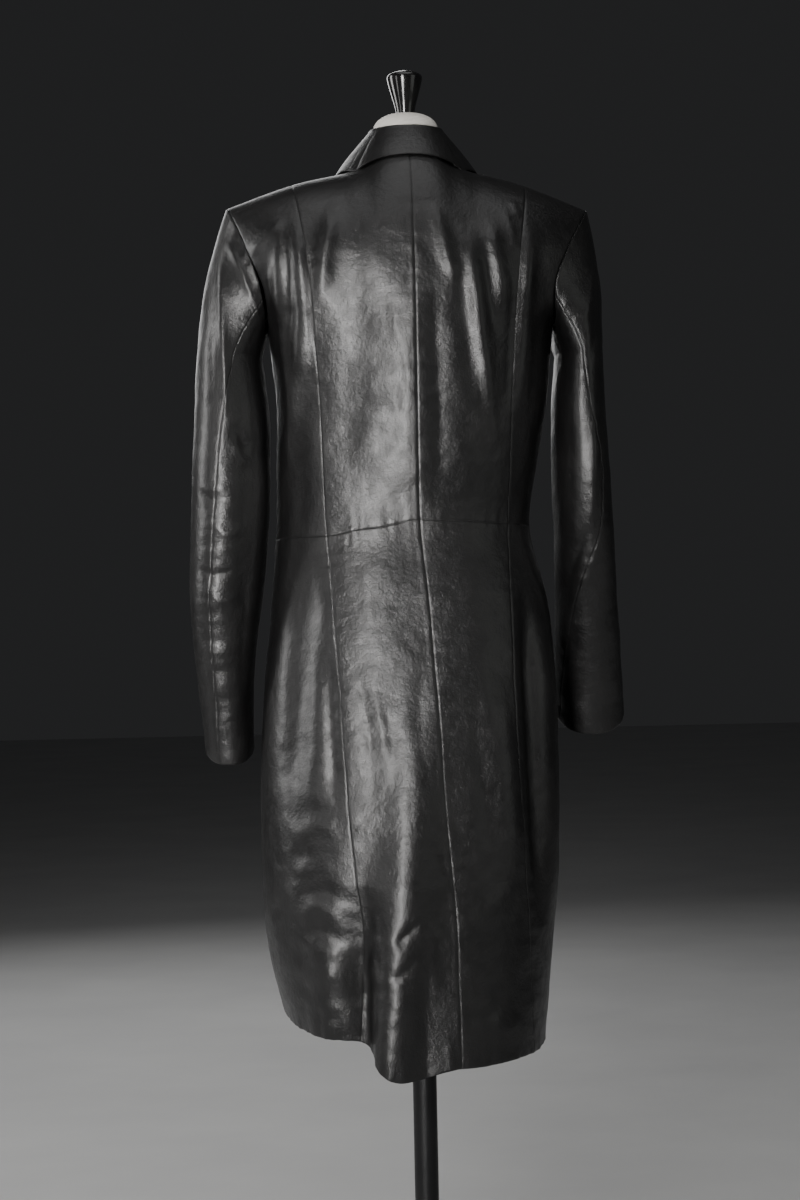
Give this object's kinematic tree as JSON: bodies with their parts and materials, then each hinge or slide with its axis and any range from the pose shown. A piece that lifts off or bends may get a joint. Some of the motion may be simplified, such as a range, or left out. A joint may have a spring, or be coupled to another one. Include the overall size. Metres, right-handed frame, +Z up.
{
  "type": "leather coat on a dress form with a stand",
  "caption": "Knee-length black leather coat with a waist seam, princess seams and set-in sleeves, worn by a limbless white dress form on a pole and round base.",
  "frame": {"origin": "on the floor, at the middle of the underside of the round base", "axes": "+X to the wearer's right, +Y the way the wearer faces, +Z up; the back of the coat is at -Y"},
  "size_m": [0.5252, 0.3945, 1.5676],
  "materials": {
    "leather": "semi-gloss black aniline leather with a fine grain",
    "horn": "polished black button",
    "jersey": "ivory jersey cover",
    "lacquer": "turned wood in gloss black lacquer",
    "steel": "satin black paint"
  },
  "bodies": {
    "root": {"back_center_left": "leather", "back_center_right": "leather", "back_side_left": "leather", "back_side_right": "leather", "skirt_center_left": "leather", "skirt_center_right": "leather", "skirt_side_left": "leather", "skirt_side_right": "leather", "front_left": "leather", "front_right": "leather", "lapel_left": "leather", "lapel_right": "leather", "sleeve_top_left": "leather", "sleeve_top_right": "leather", "sleeve_under_left": "leather", "sleeve_under_right": "leather", "collar_stand": "leather", "collar_fall": "leather", "button_1": "horn", "button_2": "horn", "button_3": "horn", "button_4": "horn", "form_torso": "jersey", "neck_cap": "jersey", "knob": "lacquer", "pole": "steel", "pole_socket": "steel", "base": "steel"}
  },
  "joints": []
}
